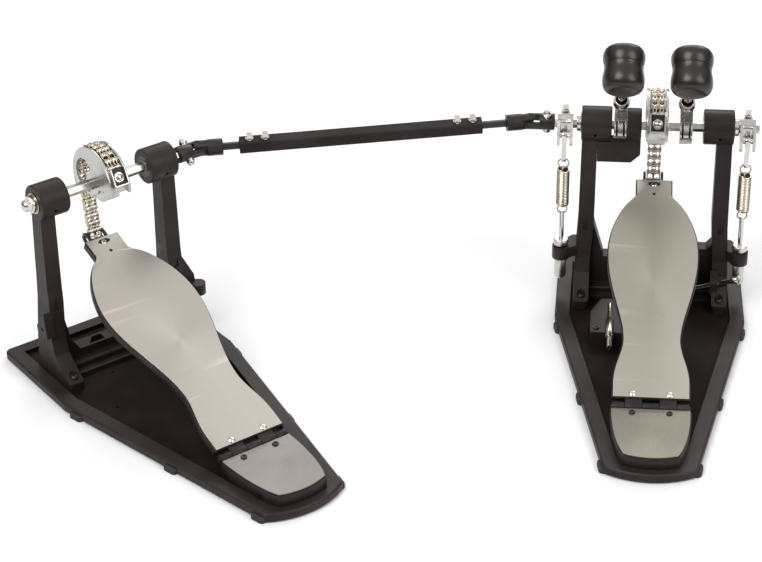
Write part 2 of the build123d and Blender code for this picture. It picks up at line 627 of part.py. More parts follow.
def beater_hub(x):
    """Split clamp on the axle with a cup for the beater's shaft on the drum's side."""
    body = slab(HUB_OUTLINE, -HUB_W / 2, HUB_W / 2)
    body = soften(body, 1.5, body.edges().filter_by(Axis.X))
    for slot in (-3.6, 3.6):
        body -= box(slot - 0.8, slot + 0.8, -13, -1, 6.5, 20)
    cup = along_z(CUP_D, *CUP_Z, 0, SHAFT_Y)
    cup = chamfer(cup.edges().filter_by(GeomType.CIRCLE).sort_by(Axis.Z)[-1], 1.0)
    body += cup
    body -= along_z(SHAFT_D + 2 * RUN_GAP, -30, 40, 0, SHAFT_Y)
    body -= along_y(4.8, SHAFT_Y, 40, 0, 8)
    return beater_frame(x) * body - hex_hole(x - 20, x + 20)


def hub_screw(x):
    """Square-head key screw in the back of a hub, which grips the shaft."""
    seat = HUB_OUTLINE[4][0]
    screw = along_y(4.8, SHAFT_Y + SHAFT_D / 2 + 0.1, seat + 2, 0, 8) + along_y(8.0, seat, seat + 1.8, 0, 8)
    screw += Pos(0, seat + 4.2, 8) * Box(5.4, 5.4, 5.4)
    return beater_frame(x) * screw


def beater_shaft(x):
    return beater_frame(x) * along_z(SHAFT_D, SHAFT_FOOT, HEAD_Z - HEAD_BORE, 0, SHAFT_Y)


def beater_head(x):
    """Barrel head with a slight waist, its axis along the strike direction."""
    low, high = HEAD_PROFILE[0], HEAD_PROFILE[-1]
    side = Spline(*[(r, along) for along, r in HEAD_PROFILE])
    ends = [
        Line((high[1], high[0]), (0, high[0])),
        Line((0, high[0]), (0, low[0])),
        Line((0, low[0]), (low[1], low[0])),
    ]
    barrel = revolve(make_face([side.edge()] + [line.edge() for line in ends]), Axis.Y)
    head = Pos(0, SHAFT_Y, HEAD_Z) * barrel - along_z(SHAFT_D, 0, HEAD_Z - HEAD_BORE, 0, SHAFT_Y)
    return beater_frame(x) * head


# ---- springs ---------------------------------------------------------------------------------------------------
def spring_link(x):
    """Strap from the rocker's pin to the spring's upper loop."""
    y, z = rocker_pin()
    strap = box(x - 2.4, x + 2.4, SPRING_Y - 4.6, SPRING_Y + 4.6, LINK_FOOT, z + 5.6)
    strap = fillet(strap.edges().filter_by(Axis.X), 4.0)
    strap -= along_x(ROCKER_PIN_D + 2 * LINK_PLAY, x - 10, x + 10, SPRING_Y, z)
    strap -= along_x(3.4, x - 10, x + 10, SPRING_Y, COIL_TOP + 11.7)
    return strap


def coil_spring(x):
    """Close-wound body of the spring, as a plain tube, with its two end loops."""
    tube = along_z(COIL_D, COIL_FOOT, COIL_TOP, x, SPRING_Y) - along_z(
        COIL_D - 2 * COIL_WIRE, COIL_FOOT - 1, COIL_TOP + 1, x, SPRING_Y
    )
    top_loop = Pos(x, SPRING_Y, COIL_TOP + 6.6) * Rot(90, 0, 0) * Torus(5.4, COIL_WIRE / 2)
    low_loop = Pos(x, SPRING_Y, COIL_FOOT - 5.8) * Rot(90, 0, 0) * Torus(4.9, COIL_WIRE / 2)
    plug_top = along_z(COIL_D - 2 * COIL_WIRE, COIL_TOP - 2.0, COIL_TOP + 1.2, x, SPRING_Y)
    plug_low = along_z(COIL_D - 2 * COIL_WIRE, COIL_FOOT - 1.2, COIL_FOOT + 2.0, x, SPRING_Y)
    return tube + plug_top + plug_low + top_loop + low_loop


def spring_rod(x):
    """Threaded rod through the bracket, with its disc nut above and long nut below."""
    rod = along_z(ROD_D, 26, COIL_FOOT - 7, x, SPRING_Y)
    rod -= along_x(3.2, x - 10, x + 10, SPRING_Y, COIL_FOOT - 10.35)
    disc = along_z(15.5, 66.5, 73, x, SPRING_Y) - along_z(ROD_D, 60, 80, x, SPRING_Y)
    disc = chamfer(disc.faces().sort_by(Axis.Z)[-1].edges().sort_by(SortBy.LENGTH)[-1], 0.8)
    long_nut = along_z(12.0, 29, 50.6, x, SPRING_Y) - along_z(ROD_D, 20, 60, x, SPRING_Y)
    return rod, disc, long_nut


# ---- drive shaft --------------------------------------------------------------------------------------------------
def slave_point(x, y=0.0):
    turn = radians(SLAVE_TURN)
    return SLAVE_X + x * cos(turn) - y * sin(turn), SLAVE_Y + x * sin(turn) + y * cos(turn)


SHAFT_FROM = slave_point(SLAVE_JOINT_X)
SHAFT_TO = (MAIN_JOINT_X, 0.0)
SHAFT_L = hypot(SHAFT_TO[0] - SHAFT_FROM[0], SHAFT_TO[1] - SHAFT_FROM[1])
SHAFT_TURN = degrees(atan2(SHAFT_TO[1] - SHAFT_FROM[1], SHAFT_TO[0] - SHAFT_FROM[0]))
SHAFT_FRAME = Pos(SHAFT_FROM[0], SHAFT_FROM[1], AXLE_Z) * Rot(0, 0, SHAFT_TURN)


def direction(turn, lean):
    """Unit vector square to a level axis at heading turn, leaning from upright by lean."""
    t, a = radians(turn), radians(lean)
    return Vector(sin(t) * sin(a), -cos(t) * sin(a), cos(a))


def lean_of(vector, turn):
    """The lean that direction() would need for this vector."""
    t = radians(turn)
    return degrees(atan2(vector.X * sin(t) - vector.Y * cos(t), vector.Z))


SHAFT_AXIS = Vector(cos(radians(SHAFT_TURN)), sin(radians(SHAFT_TURN)), 0)
SLAVE_PIN = direction(SLAVE_TURN, SLAVE_PIN_TURN)
SHAFT_PIN_A = SLAVE_PIN.cross(SHAFT_AXIS).normalized()
SHAFT_LEAN_A = lean_of(SHAFT_PIN_A, SHAFT_TURN)
SHAFT_LEAN_B = SHAFT_LEAN_A + MAIN_PIN_TURN
SHAFT_PIN_B = direction(SHAFT_TURN, SHAFT_LEAN_B)
MAIN_PIN = SHAFT_PIN_B.cross(Vector(1, 0, 0)).normalized()
MAIN_LEAN = lean_of(MAIN_PIN, 0.0)


def yoke(lean, length, pin_gap):
    """Fork on the +X side of the joint's centre, its pin leaning from upright."""
    hub = along_x(YOKE_D, YOKE_HUB, YOKE_HUB + length)
    hub = fillet(hub.edges().filter_by(GeomType.CIRCLE).sort_by(Axis.X)[-1], 1.0)
    ears = along_z(2 * EAR_TIP, -YOKE_D / 2, YOKE_D / 2) & Sphere(YOKE_HUB - 0.2)
    ears += box(0, YOKE_HUB, -EAR_HALF, EAR_HALF, -YOKE_D / 2, YOKE_D / 2)
    ears &= along_x(YOKE_D, -EAR_TIP, YOKE_HUB)
    ears -= box(-YOKE_D, YOKE_HUB, -YOKE_D, YOKE_D, -EAR_GAP, EAR_GAP)
    ears -= along_z(CROSS_PIN_D + 2 * pin_gap, -YOKE_D, YOKE_D)
    return Rot(lean, 0, 0) * (hub + ears)


def cross_body(pin_a, pin_b):
    """Cross of two pins: one along pin_a, one along pin_b."""
    solid = Sphere(3.6)
    for pin in (pin_a, pin_b):
        frame = Plane(origin=(0, 0, 0), z_dir=pin)
        solid += frame * Cylinder(CROSS_PIN_D / 2, 2 * CROSS_ARM)
    return solid


def key_bolt_up(seat, reach):
    """Square-head key bolt with a collar, its shank reaching down from a seat height."""
    return (
        along_z(4.4, seat - reach, seat) + along_z(8.4, seat, seat + 1.8)
        + Pos(0, 0, seat + 4.3) * Box(5.2, 5.2, 5.0)
    )


# ---- hoop clamp, key and small parts ---------------------------------------------------------------------------------
def clamp_base():
    """Lower lip and hinge lugs of the hoop clamp at the front edge of the base."""
    lip = box(-18, 18, 40, 78, BASE_TOP, LIP_TOP)
    lip = fillet(lip.edges().filter_by(Axis.Z), 4)
    lip += box(-18, 18, 28, 44, PAN_FLOOR + 0.1, LIP_TOP)
    for x in (-18, 12):
        lip += slab([(28, LIP_TOP - 1), (28, 31), (34, 37), (42, 37), (48, 31), (48, LIP_TOP - 1)], x, x + 6)
    return lip - along_x(CLAMP_PIN_D, -30, 30, *CLAMP_PIVOT)


def clamp_jaw():
    """Upper jaw that swings down on the hoop, with its tail back to the bolt and its pin."""
    y, z = CLAMP_PIVOT
    outline = [
        (-34, 23), (-34, 28), (30, 31), (32, 37), (46, 40), (74, 38), (78, 32), (70, 28.5),
        (50, 31), (43, 25.5), (30, 24),
    ]
    return slab(outline, -11.5, 11.5) + along_x(CLAMP_PIN_D - 2 * RUN_GAP, -17.5, 17.5, y, z)


BOLT_FRAME = Pos(50, BOLT_Y, 25.6) * Rot(0, -BOLT_RISE, 0)  # +X runs out along the bolt


def bolt_boss():
    """Tab on the main right foot that guides the hoop clamp's bolt."""
    tab = slab([(BOLT_Y - 6, 20), (BOLT_Y - 6, 34), (BOLT_Y - 3, 38), (BOLT_Y + 8, 42), (BOLT_Y + 8, 20)], 62, 70)
    return tab - BOLT_FRAME * along_x(BOLT_D + 2 * RUN_GAP, -10, 40)


def clamp_bolt():
    """Side-operated bolt with a cone under the jaw's tail and a square key end."""
    rod = along_x(BOLT_D, -35, 42) + along_x(7.5, 35, 42)
    tip = Pos(-39, 0, 0) * Rot(0, 90, 0) * Cone(0.8, BOLT_D / 2, 8)
    return BOLT_FRAME * (rod + tip + box(41, 46, -2.8, 2.8, -2.8, 2.8))


def key_holder():
    """Block on the pan's floor with a groove for the key."""
    body = Pos(0, 0, PAN_FLOOR) * extrude(make_face(Polyline(*HOLDER, close=True)), HOLDER_TOP - PAN_FLOOR)
    body = soften(body, 2.0, body.edges().filter_by(Axis.Z))
    for d, y0, y1 in KEY_SPANS:
        body -= along_y(d + 2 * OPEN_PIVOT_GAP, y0 - 1, y1 + 3, KEY_X, KEY_Z)
    return body


def drum_key():
    """Drum key with a square socket at the player's end, lying in its holder."""
    key = Pos(KEY_X, KEY_SPANS[0][2], KEY_Z) * Sphere(KEY_SPANS[0][0] / 2)
    for d, y0, y1 in KEY_SPANS:
        key += along_y(d, y0, y1, KEY_X, KEY_Z)
    tip = KEY_SPANS[-1][1]
    return key - box(KEY_X - 1.2, KEY_X + 1.2, tip - 1, tip + 8, KEY_Z - 1.2, KEY_Z + 1.2)


# ---- the whole pedal -----------------------------------------------------------------------------------------------
def base_parts():
    for name, place in PEDALS.items():
        save(f"{name}_base", place(base_plate()))
        save(f"{name}_heel_plate", place(heel_plate()))
        for side, word in ((-1, "left"), (1, "right")):
            upright = post(side)
            if name == "main":
                upright += spring_arm(side)
            else:
                upright += spare_lug() if side < 0 else spare_arm()
            if (name, side) == ("main", 1):
                upright = (upright - BOLT_FRAME * along_x(BOLT_D + 3, -10, 60)) + bolt_boss()
            save(f"{name}_{word}_post", place(upright))
    save("main_bridge", main_bridge())
    save("slave_bridge", slave_place(slave_bridge()))
    save("inner_bracket", inner_bracket())
    feet, frames, screws, pins = [], [], [], []
    for place in PEDALS.values():
        feet += [place(rubber_mat())]
        feet += [place(edge_foot(y, side)) for y in FOOT_Y for side in (-1, 1)]
        frames += [place(heel_frame())]
        screws += [place(s) for s in heel_screws()]
        screws += [place(foot_screw(side)) for side in (-1, 1)]
        pins += [place(hinge_pin())]
    save("mats_and_feet", *feet)
    save("heel_frames", *frames)
    screws += [screw_head(*HOLDER_SCREW, HOLDER_TOP, 6.0, 1.8)]
    save("base_screws", *screws)
    save("hinge_pins", *pins)
    bearings = housing_bearings() + [slave_place(b) for b in housing_bearings()]
    bearings += [bearing_rings(INNER_BLOCK[0]), bearing_rings(INNER_BLOCK[1] - BEARING_L)]
    save("bearings", *bearings)


def board_parts():
    for name, place in PEDALS.items():
        save(f"{name}_footboard", place(footboard_steel(name)))
        save(f"{name}_footboard_frame", place(footboard_frame(name)))
        save(f"{name}_toe_clamp", place(toe_clamp()))


def axle_parts():
    inner = INNER_BLOCK[1] - BEARING_L, INNER_BLOCK[1]
    save("main_axle", axle(inner[0] + 0.2, 103, [inner] + housing_journals(1)))
    inner = INNER_BLOCK[0], INNER_BLOCK[0] + BEARING_L
    left_end = MAIN_JOINT_X + YOKE_HUB + 3
    save("left_axle", axle(left_end, inner[1] - 0.2, [inner] + housing_journals(-1)))
    right_end = SLAVE_JOINT_X - YOKE_HUB - 3
    save("slave_axle", slave_place(axle(-81, right_end, housing_journals(-1) + housing_journals(1))))
    for name, place in PEDALS.items():
        save(f"{name}_cam", place(cam()))
        save(f"{name}_chain_wrap", place(chain_wrap()))
        save(f"{name}_chain_run", place(chain_run()))
        save(f"{name}_chain_anchor", place(chain_anchor()))


def beater_parts():
    for x, rocker_x, word in zip(BEATER_X, ROCKER_X, ("left", "right")):
        save(f"{word}_beater_hub", beater_hub(x), hub_screw(x))
        save(f"{word}_beater_shaft", beater_shaft(x))
        save(f"{word}_beater_head", beater_head(x))
        save(f"{word}_rocker", *rocker(rocker_x))


def spring_parts():
    rods, nuts = [], []
    for x, word in zip(SPRING_X, ("left", "right")):
        save(f"{word}_spring_link", spring_link(x))
        save(f"{word}_spring", coil_spring(x))
        rod, disc, long_nut = spring_rod(x)
        rods.append(rod)
        nuts += [disc, long_nut]
    save("spring_rods", *rods)
    save("spring_nuts", *nuts)


def drive_parts():
    half_turn = Rot(0, 0, 180)
    main_yoke = yoke(MAIN_LEAN, YOKE_L, RUN_GAP) - hex_bar(HEX_FLATS, YOKE_HUB + 3, YOKE_HUB + 40)
    save("left_axle_yoke", Pos(MAIN_JOINT_X, 0, AXLE_Z) * main_yoke)
    slave_yoke = yoke(-SLAVE_PIN_TURN, YOKE_L, RUN_GAP) - hex_bar(HEX_FLATS, YOKE_HUB + 3, YOKE_HUB + 40)
    save("slave_axle_yoke", slave_place(Pos(SLAVE_JOINT_X, 0, AXLE_Z) * half_turn * slave_yoke))
    socket = hex_bar(ROD_FLATS, YOKE_HUB + 5, YOKE_HUB + 40)
    near = yoke(SHAFT_LEAN_A, YOKE_L, OPEN_PIVOT_GAP) - socket
    far = Pos(SHAFT_L, 0, 0) * half_turn * (yoke(-SHAFT_LEAN_B, YOKE_L, OPEN_PIVOT_GAP) - socket)
    save("drive_yokes", SHAFT_FRAME * near, SHAFT_FRAME * far)
    rods = [
        hex_bar(ROD_FLATS, YOKE_HUB + 5, TUBE_FROM + 40),
        hex_bar(ROD_FLATS, TUBE_TO - 40, SHAFT_L - YOKE_HUB - 5),
    ]
    save("drive_rods", *[SHAFT_FRAME * r for r in rods])
    tube = box(TUBE_FROM, TUBE_TO, -TUBE_W / 2, TUBE_W / 2, -TUBE_W / 2, TUBE_W / 2)
    tube = Rot(TUBE_ROLL, 0, 0) * fillet(tube.edges().filter_by(Axis.X), 2.0)
    places = [x for d in TUBE_BOLTS for x in (TUBE_FROM + d, TUBE_TO - d)]
    bolts = [Rot(TUBE_ROLL, 0, 0) * Pos(x, 0, 0) * key_bolt_up(TUBE_W / 2, 2.6) for x in places]
    for part in rods + bolts:
        tube -= part
    save("drive_tube", SHAFT_FRAME * tube)
    save("drive_bolts", *[SHAFT_FRAME * bolt for bolt in bolts])
    centre = Pos(SHAFT_FROM[0], SHAFT_FROM[1], AXLE_Z)
    save("slave_cross", centre * cross_body(SLAVE_PIN, SHAFT_PIN_A))
    save("main_cross", Pos(MAIN_JOINT_X, 0, AXLE_Z) * cross_body(SHAFT_PIN_B, MAIN_PIN))


def clamp_parts():
    save("clamp_base", clamp_base())
    save("clamp_jaw", clamp_jaw())
    save("clamp_bolt", clamp_bolt())
    save("key_holder", key_holder())
    save("drum_key", drum_key())


base_parts()
board_parts()
axle_parts()
beater_parts()
spring_parts()
drive_parts()
clamp_parts()
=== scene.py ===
"""Twin bass drum pedal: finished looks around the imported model.

Pieces are drawn in millimetres in a pedal's own axle frame (X along the axle to the right, Y to
the drum, Z up, origin on the axle) and placed through that pedal's axle joint, so main and slave
parts share their code.
"""
import json
from math import acos, atan2, cos, degrees, hypot, pi, radians, sin, tau

import bmesh
import bpy
from mathutils import Matrix, Vector


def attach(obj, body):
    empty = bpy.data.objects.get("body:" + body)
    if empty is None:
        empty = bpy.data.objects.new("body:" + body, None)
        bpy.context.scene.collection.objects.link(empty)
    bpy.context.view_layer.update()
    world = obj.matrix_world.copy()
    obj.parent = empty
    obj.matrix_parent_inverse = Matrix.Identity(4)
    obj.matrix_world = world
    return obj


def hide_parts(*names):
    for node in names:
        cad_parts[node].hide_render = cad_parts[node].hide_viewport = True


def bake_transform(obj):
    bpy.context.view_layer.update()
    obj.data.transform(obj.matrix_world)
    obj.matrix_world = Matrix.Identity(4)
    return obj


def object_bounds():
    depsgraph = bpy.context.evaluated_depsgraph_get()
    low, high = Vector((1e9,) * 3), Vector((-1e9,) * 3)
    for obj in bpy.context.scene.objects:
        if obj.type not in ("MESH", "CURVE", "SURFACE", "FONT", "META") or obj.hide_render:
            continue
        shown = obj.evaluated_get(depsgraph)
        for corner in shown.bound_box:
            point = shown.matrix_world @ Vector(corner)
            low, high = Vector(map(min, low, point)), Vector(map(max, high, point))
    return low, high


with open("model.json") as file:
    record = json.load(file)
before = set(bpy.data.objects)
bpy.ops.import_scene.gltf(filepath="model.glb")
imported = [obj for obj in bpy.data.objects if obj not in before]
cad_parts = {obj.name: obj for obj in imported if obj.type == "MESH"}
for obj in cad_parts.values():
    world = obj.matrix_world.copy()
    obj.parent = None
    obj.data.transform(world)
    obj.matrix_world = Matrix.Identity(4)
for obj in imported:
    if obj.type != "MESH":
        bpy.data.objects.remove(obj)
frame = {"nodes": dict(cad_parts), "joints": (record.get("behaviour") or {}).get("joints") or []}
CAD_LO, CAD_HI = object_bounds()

MM = 0.001
JOINTS = {j["name"]: j for j in frame["joints"]}
NODES = frame["nodes"]


# ---- places --------------------------------------------------------------------------------------
def axle_place(joint):
    """Millimetres in an axle's own frame to the row frame."""
    x = -Vector(JOINTS[joint]["axis"]).normalized()
    z = Vector((0, 0, 1))
    y = z.cross(x)
    turn = Matrix((x, y, z)).transposed().to_4x4()
    return Matrix.Translation(Vector(JOINTS[joint]["pos_m"])) @ turn @ Matrix.Scale(MM, 4)


MAIN = axle_place("main_axle_turn")
SLAVE = axle_place("slave_axle_turn")
PEDALS = {"main": MAIN, "slave": SLAVE}


def node_mm(node, place):
    """Lowest and highest corner of a CAD node in a pedal's frame, millimetres."""
    back = place.inverted()
    points = [back @ v.co for v in NODES[node].data.vertices]
    lo = Vector([min(p[i] for p in points) for i in range(3)])
    hi = Vector([max(p[i] for p in points) for i in range(3)])
    return lo, hi


def middle(node, place):
    lo, hi = node_mm(node, place)
    return (lo + hi) / 2


# ---- solids: each is (points, faces) in millimetres ----------------------------------------------
def prism(outline, lo, hi, axis="X"):
    """Outline in the two other axes (Y,Z for X; X,Z for Y; X,Y for Z), from lo to hi."""
    order = {"X": (2, 0, 1), "Y": (0, 2, 1), "Z": (0, 1, 2)}[axis]
    points = [tuple((a, b, t)[i] for i in order) for t in (lo, hi) for a, b in outline]
    n = len(outline)
    faces = [tuple(range(n)), tuple(range(2 * n - 1, n - 1, -1))]
    faces += [(i, i + n, (i + 1) % n + n, (i + 1) % n) for i in range(n)]
    return points, faces


def block(x0, x1, y0, y1, z0, z1):
    return prism([(x0, y0), (x1, y0), (x1, y1), (x0, y1)], z0, z1, "Z")


def hexagon(flats):
    """Six-sided outline by its width across flats, turned by half a side."""
    r = flats / 2 / cos(pi / 6)
    return [(r * cos(pi / 6 + tau * i / 6), r * sin(pi / 6 + tau * i / 6)) for i in range(6)]


def lathe(profile, sides=40, closed=False):
    """Profile of (along, radius), turned about the X axis."""
    turns = [tau * k / sides for k in range(sides)]
    points = [(a, r * cos(turn), r * sin(turn)) for a, r in profile for turn in turns]
    rings = len(profile)
    pairs = [(i, (i + 1) % rings) for i in range(rings if closed else rings - 1)]
    faces = []
    for i, j in pairs:
        for k in range(sides):
            m = (k + 1) % sides
            faces.append((i * sides + k, i * sides + m, j * sides + m, j * sides + k))
    if not closed:
        faces.append(tuple(range(sides - 1, -1, -1)))
        faces.append(tuple(range((rings - 1) * sides, rings * sides)))
    return points, faces


def sweep(path, r, sides=10, closed=False):
    """Round wire along a list of points."""
    path = [Vector(p) for p in path]
    n = len(path)
    points, faces = [], []
    normal = None
    for i, p in enumerate(path):
        ahead = path[(i + 1) % n] if closed or i < n - 1 else p
        behind = path[i - 1] if closed or i > 0 else p
        along = (ahead - behind).normalized()
        if normal is None:
            normal = along.orthogonal().normalized()
        normal = (normal - along * normal.dot(along)).normalized()
        side = along.cross(normal)
        for k in range(sides):
            a = tau * k / sides
            points.append(tuple(p + r * (cos(a) * normal + sin(a) * side)))
    for i in range(n if closed else n - 1):
        j = (i + 1) % n
        for k in range(sides):
            m = (k + 1) % sides
            faces.append((i * sides + k, i * sides + m, j * sides + m, j * sides + k))
    if not closed:
        faces.append(tuple(range(sides - 1, -1, -1)))
        faces.append(tuple(range((n - 1) * sides, n * sides)))
    return points, faces


def moved(solid, place):
    points, faces = solid
    return [tuple(place @ Vector(p)) for p in points], faces


def shift(x=0.0, y=0.0, z=0.0):
    return Matrix.Translation((x, y, z))


def turned(degrees_, axis):
    return Matrix.Rotation(radians(degrees_), 4, axis)


# ---- pieces --------------------------------------------------------------------------------------
SHARP = radians(32)


def piece(name, solids, place, looks, body=None, replaces=(), bevel=0.0):
    """One object from solids, each with the number of its material in looks, riding on a body."""
    bm = bmesh.new()
    for number, (points, faces) in solids:
        verts = [bm.verts.new(place @ Vector(p)) for p in points]
        for f in faces:
            face = bm.faces.new([verts[i] for i in f])
            face.material_index = number
            face.smooth = True
    bmesh.ops.recalc_face_normals(bm, faces=bm.faces)
    for edge in bm.edges:
        if len(edge.link_faces) == 2 and edge.calc_face_angle(0) > SHARP:
            edge.smooth = False
    mesh = bpy.data.meshes.new(name)
    bm.to_mesh(mesh)
    bm.free()
    obj = bpy.data.objects.new(name, mesh)
    bpy.context.scene.collection.objects.link(obj)
    for look in looks:
        mesh.materials.append(look)
    if bevel:
        soften(obj, bevel)
    if replaces:
        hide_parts(*replaces)
    if body:
        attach(obj, body)
    return obj


def soften(obj, width, segments=2, weld=False):
    """Rounds an object's sharp edges, width in millimetres."""
    if weld:
        join = obj.modifiers.new("weld", "WELD")
        join.merge_threshold = 1e-6
    round_ = obj.modifiers.new("rounded", "BEVEL")
    round_.width = width * MM
    round_.segments = segments
    round_.limit_method = "ANGLE"
    round_.angle_limit = SHARP
    round_.use_clamp_overlap = True
    round_.harden_normals = True


# ---- materials -----------------------------------------------------------------------------------
class Look:
    """A Principled material with helpers for its procedural detail, in object coordinates."""

    def __init__(self, name, colour, metal, rough, **sockets):
        self.material = bpy.data.materials.new(name)
        self.material.use_nodes = True
        self.tree = self.material.node_tree
        self.shader = self.tree.nodes["Principled BSDF"]
        self.place = self.tree.nodes.new("ShaderNodeTexCoord").outputs["Object"]
        self.set("Base Color", (*colour, 1))
        self.set("Metallic", metal)
        self.set("Roughness", rough)
        for socket, value in sockets.items():
            self.set(socket.replace("_", " "), value)
        self.normal = None

    def set(self, socket, value):
        self.shader.inputs[socket].default_value = value

    def node(self, kind, links=(), **values):
        made = self.tree.nodes.new(kind)
        for key, value in values.items():
            setattr(made, key, value)
        for socket, value in links:
            if isinstance(value, bpy.types.NodeSocket):
                self.tree.links.new(value, made.inputs[socket])
            else:
                made.inputs[socket].default_value = value
        return made

    def noise(self, scale, detail=3.0, stretch=(1, 1, 1), turn=(0, 0, 0), rough=0.6):
        links = [("Vector", self.place), ("Rotation", turn), ("Scale", stretch)]
        mapping = self.node("ShaderNodeMapping", links)
        made = self.node(
            "ShaderNodeTexNoise",
            [("Vector", mapping.outputs[0]), ("Scale", scale), ("Detail", detail), ("Roughness", rough)],
        )
        return made.outputs["Fac"]

    def ramp(self, source, low, high, out_low, out_high):
        ends = [("From Min", low), ("From Max", high), ("To Min", out_low), ("To Max", out_high)]
        return self.node("ShaderNodeMapRange", [("Value", source), *ends]).outputs["Result"]

    def mix(self, fac, one, two):
        made = self.node("ShaderNodeMix", data_type="RGBA")
        for socket, value in ((0, fac), (6, one), (7, two)):
            if isinstance(value, bpy.types.NodeSocket):
                self.tree.links.new(value, made.inputs[socket])
            else:
                made.inputs[socket].default_value = value
        return made.outputs[2]

    def bump(self, height, strength, distance):
        links = [("Height", height), ("Strength", strength), ("Distance", distance)]
        if self.normal:
            links.append(("Normal", self.normal))
        self.normal = self.node("ShaderNodeBump", links).outputs["Normal"]
        self.tree.links.new(self.normal, self.shader.inputs["Normal"])

    def link(self, source, socket):
        self.tree.links.new(source, self.shader.inputs[socket])


def powder_coat(name, colour, rough, grain=1.0, shine=0.3):
    """Powder coat: fine orange peel, faint mottling."""
    look = Look(name, colour, 0.0, rough, Specular_IOR_Level=shine)
    fine = look.noise(1400, 2)
    broad = look.noise(22, 3)
    lighter = tuple(c * 1.35 + 0.004 for c in colour)
    look.link(look.mix(look.ramp(broad, 0.35, 0.65, 0, 1), (*colour, 1), (*lighter, 1)), "Base Color")
    look.link(look.ramp(fine, 0.3, 0.7, rough - 0.05, rough + 0.07), "Roughness")
    look.bump(fine, 0.25 * grain, 0.00012)
    return look.material


def brushed_steel(name, colour, rough, turn, streak=1.0, speck=0.3):
    """Steel sheet brushed along its length: long hair lines, fine specks and soft wear."""
    look = Look(name, colour, 1.0, rough, Anisotropic=0.35)
    lines = look.noise(90, 5, (38, 1.2, 38), turn, 0.7)
    hairs = look.noise(260, 2, (16, 0.7, 16), turn, 0.8)
    specks = look.noise(1900, 2)
    broad = look.noise(9, 2)
    dark = tuple(c * 0.84 for c in colour)
    light = tuple(min(1, c * 1.10) for c in colour)
    tone = look.mix(look.ramp(lines, 0.32, 0.68, 0, streak), (*dark, 1), (*light, 1))
    tone = look.mix(look.ramp(specks, 0.4, 0.75, 0, speck), tone, (*light, 1))
    look.link(tone, "Base Color")
    fine_part = look.ramp(hairs, 0.3, 0.7, -0.05, 0.06)
    broad_part = look.ramp(broad, 0.3, 0.7, rough - 0.03, rough + 0.04)
    mixed = look.node("ShaderNodeMath", [(0, fine_part), (1, broad_part)], operation="ADD")
    look.link(mixed.outputs[0], "Roughness")
    look.bump(lines, 0.14, 0.00006)
    look.bump(hairs, 0.10, 0.00004)
    return look.material


def plain_metal(name, colour, rough, grain=0.1, wave=0.0, tint=None):
    """Plated or machined metal: slight casting waves, fine scratches, a little tarnish."""
    look = Look(name, colour, 1.0, rough)
    fine = look.noise(900, 3)
    broad = look.noise(70, 2)
    other = tint or tuple(c * 0.86 for c in colour)
    look.link(look.mix(look.ramp(broad, 0.42, 0.66, 0, 0.8), (*colour, 1), (*other, 1)), "Base Color")
    look.link(look.ramp(fine, 0.3, 0.7, max(0.02, rough - 0.04), rough + 0.07), "Roughness")
    look.bump(fine, grain, 0.00005)
    if wave:
        look.bump(broad, wave, 0.0006)
    return look.material


def machined_steel(name, colour, rough):
    """Drawn bar: hair lines along X of the part."""
    look = Look(name, colour, 1.0, rough)
    lines = look.noise(120, 4, (1.0, 30, 30))
    dark = tuple(c * 0.85 for c in colour)
    look.link(look.mix(look.ramp(lines, 0.3, 0.7, 0, 1), (*dark, 1), (*colour, 1)), "Base Color")
    look.link(look.ramp(lines, 0.3, 0.7, rough - 0.05, rough + 0.08), "Roughness")
    look.bump(lines, 0.12, 0.00005)
    return look.material


def gloss_plastic(name, colour):
    look = Look(name, colour, 0.0, 0.3, Specular_IOR_Level=0.45, Coat_Weight=0.1, Coat_Roughness=0.2)
    fine = look.noise(160, 3)
    look.link(look.ramp(fine, 0.3, 0.7, 0.26, 0.36), "Roughness")
    look.bump(look.noise(38, 2), 0.05, 0.0008)
    return look.material


def rubber(name):
    look = Look(name, (0.022, 0.021, 0.021), 0.0, 0.75)
    look.bump(look.noise(800, 3), 0.4, 0.0002)
    look.link(look.ramp(look.noise(60, 2), 0.3, 0.7, 0.66, 0.84), "Roughness")
    return look.material


def floor_look():
    look = Look("studio_floor", (0.80, 0.80, 0.80), 0.0, 0.6)
    look.link(look.ramp(look.noise(3, 2), 0.3, 0.7, 0.55, 0.65), "Roughness")
    return look.material


SLAVE_HEADING = atan2(SLAVE[1][0], SLAVE[0][0])
ALONG_MAIN, ALONG_SLAVE = (0, 0, 0), (0, 0, -SLAVE_HEADING)
BLACK = powder_coat("black_powder_coat", (0.0195, 0.013, 0.0125), 0.42, shine=0.2)
# Darker, flatter black used as painted shade: the base's pan recess, the hub's slot floors and cup mouth,
# screw crosses and inside the spring ends.
SHADE_BLACK = powder_coat("painted_shade_black", (0.0075, 0.003, 0.0025), 0.6, 0.6, 0.08)
TUBE = powder_coat("drive_tube_coat", (0.020, 0.016, 0.015), 0.62, 0.5, 0.12)
BLACK_STEEL = powder_coat("black_oxide", (0.016, 0.012, 0.011), 0.38, 0.5, 0.3)
